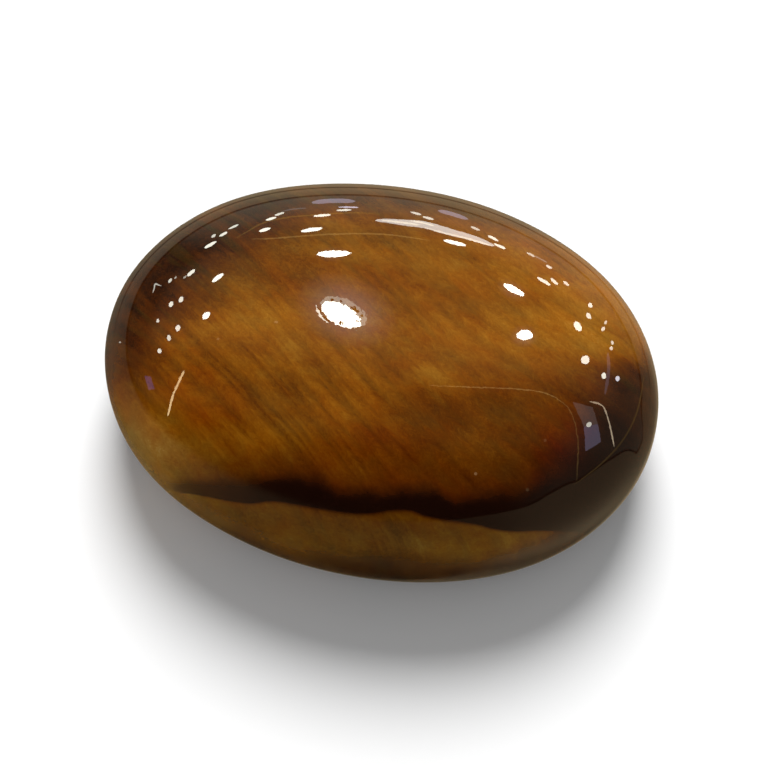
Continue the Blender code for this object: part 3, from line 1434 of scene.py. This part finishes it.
@dataclass
class RoomLamps:
    """The lamps and windows whose glints show in the polish."""

    camera: Camera
    form: DomeForm
    stone: bpy.types.Object
    away: float = 0.5
    haze_away: float = 0.52
    thin: float = 2.3
    strip_nearer: float = 0.005
    shades: tuple[Shade, ...] = (
        Shade((341, 300.8), 3.4, 3.4, 0),
        Shade((354.5, 309.0), 11.0, 3.0, 38),
        Shade((362.0, 315.5), 3.6, 2.8, 60),
        Shade((331.8, 299.3), 4.2, 2.2, 10),
        Shade((340.6, 322.6), 4.0, 3.8, 0),
        Shade((319.8, 309.6), 10.0, 1.7, 60),
        Shade((326.2, 318.6), 8.0, 1.7, 44),
        Shade((358.0, 321.5), 5.0, 2.2, 20),
        Shade((354, 327.0), 5.0, 1.6, -10),
    )
    halos: tuple[Halo, ...] = (
        Halo((346, 311), 134, 92, 20, 1.7),
        Halo((524, 335), 36, 28, 0, 1.0),
        Halo((513, 291), 42, 24, 30, 0.8),
        Halo((333, 254), 48, 18, -3, 0.8),
    )
    ceiling: tuple[Spot, ...] = (
        Spot((341, 314.8), 44.0, 20.6, 29, 40),
        Spot((343.4, 312.2), 50.0, 26.5, 26, 5.0, WARM, 12, 0.0),
        Spot((334.6, 253.4), 35, 6.6, -2.5, 34),
        Spot((515.2, 291), 24, 6.2, 29, 36),
        Spot((525, 333.4), 16, 9.4, -2, 40),
        Spot((455.5, 243.6), 24, 3.8, 14, 22),
    )
    left_row: tuple[Spot, ...] = (
        Spot((312.4, 229.4), 23.5, 3.8, -9, 22),
        Spot((324.2, 214.7), 16.5, 2.6, -4, 15),
        Spot((348, 206.8), 18, 1.6, 1, 8, VIOLET),
        Spot((343.5, 209.7), 13, 1.8, -2, 12),
        Spot((263.6, 230.2), 13, 3.0, -16, 18),
        Spot((270.6, 218.8), 11, 2.4, -16, 15),
        Spot((280.5, 213.6), 11, 2.2, -17, 11),
        Spot((232, 227.5), 11, 1.9, -25, 11),
        Spot((222.6, 234.4), 8.5, 2.6, -28, 13),
        Spot((212.9, 236), 4.4, 2.6, -35, 10),
        Spot((210.4, 244.3), 12.5, 3.0, -28, 15),
        Spot((191.8, 271.5), 10, 3.6, -42, 16),
        Spot((185.3, 276.0), 4.5, 2.0, -40, 6),
        Spot((176, 276.5), 3.6, 1.5, -50, 7),
        Spot((170.6, 279.5), 5, 2.8, -55, 11),
        Spot((218.2, 276.6), 14.5, 4.4, -38, 24),
        Spot((181.2, 299.6), 6.4, 4.2, -65, 15),
        Spot((171.3, 304.1), 6.0, 4.0, -70, 15),
        Spot((206.4, 315.7), 9.2, 6.0, -50, 24),
        Spot((158, 320.9), 4.2, 3.0, -80, 12),
        Spot((178, 327.8), 6.2, 4.8, -80, 15),
        Spot((169, 337.3), 6, 3.8, 85, 13),
        Spot((159.5, 349.6), 4.6, 3.8, 80, 14),
        Spot((120, 342), 2.3, 1.7, 0, 4),
    )
    right_row: tuple[Spot, ...] = (
        Spot((412.5, 213), 13, 2.2, 14, 9),
        Spot((426, 218), 12, 2.3, 14, 10),
        Spot((476.5, 229.4), 10, 2.4, 22, 8),
        Spot((494, 239), 11, 2.6, 27, 13),
        Spot((500.6, 247), 13, 2.6, 24, 14),
        Spot((531.5, 255.2), 9.5, 2.2, 28, 8),
        Spot((550, 268), 7, 2.4, 32, 11),
        Spot((545.6, 283), 16, 3.4, 32, 15),
        Spot((555.8, 283), 10, 3.0, 42, 13),
        Spot((568, 285.4), 7.5, 2.6, 38, 11),
        Spot((591.6, 306.9), 5, 4, 50, 13),
        Spot((589.7, 316.4), 5.6, 4.2, 55, 13),
        Spot((578.5, 325.5), 9.4, 6.2, 50, 18),
        Spot((603.6, 328.2), 4.6, 3.2, -50, 11),
        Spot((606.4, 322.6), 3.6, 2.6, -60, 9),
        Spot((612.5, 340.5), 3.6, 2.6, 80, 10),
        Spot((611.5, 345.8), 4.2, 3.4, 80, 10),
        Spot((585.7, 357.4), 8.8, 8.8, 0, 17),
        Spot((604.2, 373.6), 6.6, 4.4, 85, 16),
        Spot((618, 376), 4.2, 5.4, 0, 13, PALE_BLUE),
        Spot((588, 425.8), 5.6, 4.4, -40, 10),
    )
    tubes: tuple[Strip, ...] = (
        Strip(
            ((372.5, 220), (383, 220.3), (394, 221.6), (406, 222.7), (418, 224), (430, 226.6), (441, 229.8),
             (455, 234), (468, 237), (482, 241.2), (495, 246.5)),
            6.8, 8.2, MILKY, 3, 0.35,
        ),
        Strip(((377, 219.6), (390, 221.0), (404, 222.8), (418, 225.0)), 1.7, 12.0),
        Strip(((408, 220.6), (420, 222.6), (434, 226.4)), 1.6, 12.0),
        Strip(((424, 228.0), (446, 234.0), (464, 238.4), (482, 243.4), (493, 246.8)), 1.8, 12.0),
        Strip(((316.2, 304.0), (317.4, 310.5), (321.5, 317.0), (328.5, 322.6)), 1.7, 16.0),
        Strip(((314, 202), (333, 200.4), (353, 201)), 4.2, 2.6, VIOLET),
        Strip(((437, 210.6), (452, 214.4), (469, 220)), 3.8, 2.7, VIOLET),
        Strip(((184, 370), (179, 382), (174, 396), (170, 418)), 2.2, 11.0, BUFF, 6, 0.12),
        Strip(((589, 402), (602, 406), (608, 422), (613, 448)), 1.4, 6.5, PEACH, 6, 0.12),
        Strip(((162, 285.2), (158.8, 284.0), (155.6, 283.2), (154.6, 287.5), (153, 292)), 1.2, 7.0),
        Strip(((608, 350), (609, 368), (605, 394)), 3.2, 0.9, VIOLET),
        Strip(((534, 256), (541, 259.5), (548, 263.5)), 1.4, 2.5),
        Strip(((282, 211.5), (292, 209), (302, 207.8), (309, 207.6)), 1.3, 1.3, MILKY),
    )
    sparks: tuple[Spot, ...] = (
        Spot((474.5, 473.6), 3.0, 3.4, 0, 1.9, CREAM),
        Spot((529, 488.8), 3.4, 3.8, 0, 0.6, CREAM),
        Spot((546, 439.8), 2.6, 3.2, 0, 0.7, CREAM),
        Spot((218, 338), 2.8, 2.4, 0, 1.8, CREAM),
        Spot((276.5, 321.8), 4.2, 2.2, 0, 2.4, CREAM),
    )
    bright_edges: tuple[Strip, ...] = (
        Strip(((428, 385), (476, 387), (529, 391), (550, 396), (562, 404)), 1.1, 2.3, YELLOW),
        Strip(((560, 402), (568, 410), (574, 424), (577, 440)), 1.1, 1.2, YELLOW),
        Strip(((577, 436), (578, 450), (578, 480)), 1.1, 1.0, YELLOW),
        Strip(
            ((250, 239.6), (270, 239), (300, 236.2), (334, 233.6), (382, 234), (430, 241)),
            1.4, 2.0, YELLOW,
        ),
        Strip(
            ((234, 239), (248, 231), (262, 223.4), (285, 217.6), (308, 215), (334, 213), (357, 212.4),
             (376, 213.5)),
            1.3, 1.4, YELLOW,
        ),
        Strip(((644, 372), (640, 400), (633, 422), (620, 444), (600, 465), (575, 484)), 1.4, 0.6, YELLOW),
    )
    panes: tuple[Pane, ...] = (
        Pane(((572, 403), (592, 408), (597, 425), (583, 428)), 0.75, ROSE),
        Pane(((583, 428), (597, 425), (600, 443), (585, 452)), 1.5, LILAC),
        Pane(((144, 374), (150.5, 375.5), (154.5, 388), (148.5, 389)), 1.4, INDIGO),
    )

    def build(self) -> None:
        """Adds every lamp, bright edge, window and halo."""
        groups = {
            "ceiling_lamp": self.ceiling,
            "left_lamp": self.left_row,
            "right_lamp": self.right_row,
            "tube": self.tubes,
            "spark": self.sparks,
            "bright_edge": self.bright_edges,
            "window": self.panes,
            "shade": self.shades,
        }
        for kind, lamps in groups.items():
            for number, lamp in enumerate(lamps):
                self.add(lamp, f"{kind}_{number:02d}")
        for number, halo in enumerate(self.halos):
            self.add_halo(halo, f"halo_{number:02d}")

    def mirrored(self, pixel: Point, away: float) -> Vector:
        """The place in the room that the dome mirrors to the camera at a pixel.

        Args:
            pixel: Across and down, in the frame.
            away: How far from the stone the place is, in metres.

        Returns:
            The place.

        Raises:
            ValueError: The pixel misses the stone.
        """
        ray = self.camera.ray(pixel)
        hit, point, _, _ = self.stone.ray_cast(self.camera.place(), ray)
        if not hit:
            raise ValueError(f"pixel {pixel} misses the stone")
        outward = self.form.outward(point)
        return point + (ray - 2 * ray.dot(outward) * outward) * away

    def add(self, lamp: Spot | Strip | Pane, name: str) -> None:
        """Adds one lamp as a glowing panel.

        Args:
            lamp: The lamp.
            name: The panel's name.
        """
        away = self.away
        if isinstance(lamp, Spot):
            away -= lamp.nearer
        elif isinstance(lamp, Strip) and lamp.width < self.thin:
            away -= self.strip_nearer
        corners = [self.mirrored(pixel, away) for pair in lamp.rails() for pixel in pair]
        faces = [(place, place + 1, place + 3, place + 2) for place in range(0, len(corners) - 2, 2)]
        _, wires = self.panel(name, corners, faces)
        wires.show(wires.shader("Emission", {"Color": lamp.colour, "Strength": lamp.radiance}))

    def add_halo(self, halo: Halo, name: str) -> None:
        """Adds one halo as a see-through panel that glows most in its middle.

        Args:
            halo: The halo.
            name: The panel's name.
        """
        shares = [ring / halo.rings for ring in range(halo.rings + 1)]
        corners = [self.mirrored(pixel, self.haze_away) for share in shares for pixel in halo.ring(share)]
        mesh, wires = self.panel(name, corners, halo.faces())
        strength = mesh.attributes.new("strength", "FLOAT", "POINT")
        for place, value in enumerate(strength.data):
            value.value = halo.radiance * (1 - shares[place // halo.steps] ** 2) ** halo.fading
        fading = wires.add("Attribute", attribute_name="strength").outputs["Fac"]
        glow = wires.shader("Emission", {"Color": halo.colour, "Strength": fading})
        clear = wires.add("BsdfTransparent").outputs[0]
        wires.show(wires.filled(wires.add("AddShader"), (glow, clear)).outputs[0])

    def panel(
        self, name: str, corners: Sequence[Vector], faces: Sequence[tuple[int, ...]]
    ) -> tuple[bpy.types.Mesh, Wiring]:
        """Adds a panel to the room that only the polish sees.

        Args:
            name: The panel's and its material's name.
            corners: Its points.
            faces: Its faces, as places in the list of points.

        Returns:
            The panel's mesh, and the wiring of its material, still empty.
        """
        mesh = bpy.data.meshes.new(name)
        mesh.from_pydata(corners, [], faces)
        panel = bpy.data.objects.new(name, mesh)
        bpy.context.scene.collection.objects.link(panel)
        material, wires = new_material(name)
        mesh.materials.append(material)
        panel.visible_camera = False
        panel.visible_diffuse = False
        panel.visible_transmission = False
        panel.visible_shadow = False
        return mesh, wires


# ---------------------------------------------------------------- the whole


def main() -> None:
    """Builds the stone and the studio around it."""
    logging.basicConfig(level=logging.INFO, format="%(message)s")
    form = DomeForm()
    stone = Cabochon(form).build()
    stone.data.materials.append(TigersEye(form).make())
    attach(stone, "root")
    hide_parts("tigers_eye_stone")
    LOG.info("stone: %d faces", len(stone.data.polygons))

    camera = Camera()
    camera.build()
    Studio(camera).build()
    RoomLamps(camera, form, stone).build()
    LOG.info("studio: camera, floor, key light, sky and lamps")


if __name__ == "__main__":
    main()
